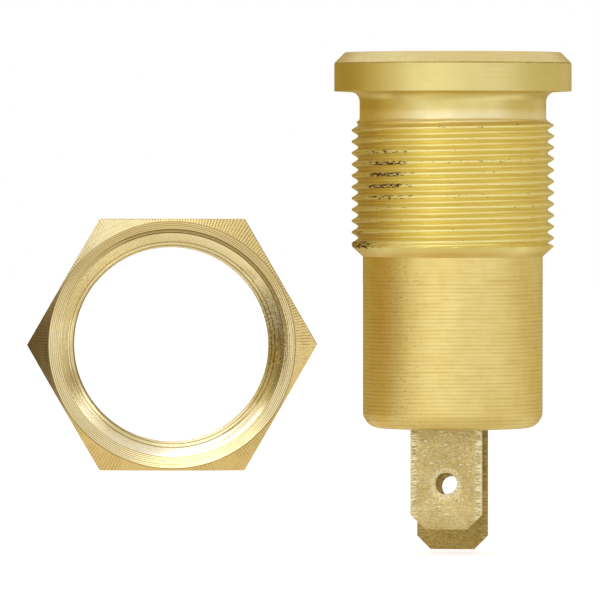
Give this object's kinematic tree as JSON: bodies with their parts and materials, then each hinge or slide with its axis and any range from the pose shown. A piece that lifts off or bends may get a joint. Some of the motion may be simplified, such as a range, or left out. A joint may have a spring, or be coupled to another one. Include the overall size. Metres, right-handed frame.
{
  "type": "panel mount din socket",
  "caption": "Turned brass two-pole DIN power socket with threaded barrel, mounting flange, plain tail and flat push-on tabs, with its hex panel nut set apart.",
  "frame": {"origin": "on the socket's axis, in the plane of the flange's rear face, where the panel sits", "axes": "+Z along the socket's axis out of the plug's mouth; the two tabs' faces look along -Y and +Y"},
  "size_m": [0.0475, 0.021, 0.0442],
  "materials": {
    "turned_brass": "fine turned, bare",
    "milled_brass": "turned countersink, milled lands, bare",
    "contact_brass": "turned, bright",
    "tab_brass": "rolled and blanked, satin",
    "black_moulding": "moulded, satin",
    "brown_fibre": "pressed fibre, matt"
  },
  "bodies": {
    "root": {"shell": "turned_brass", "insulator": "black_moulding", "centre_contact": "contact_brass", "live_tab": "tab_brass", "insulating_washer": "brown_fibre", "earth_tab": "tab_brass", "hex_nut": "milled_brass"}
  },
  "joints": []
}
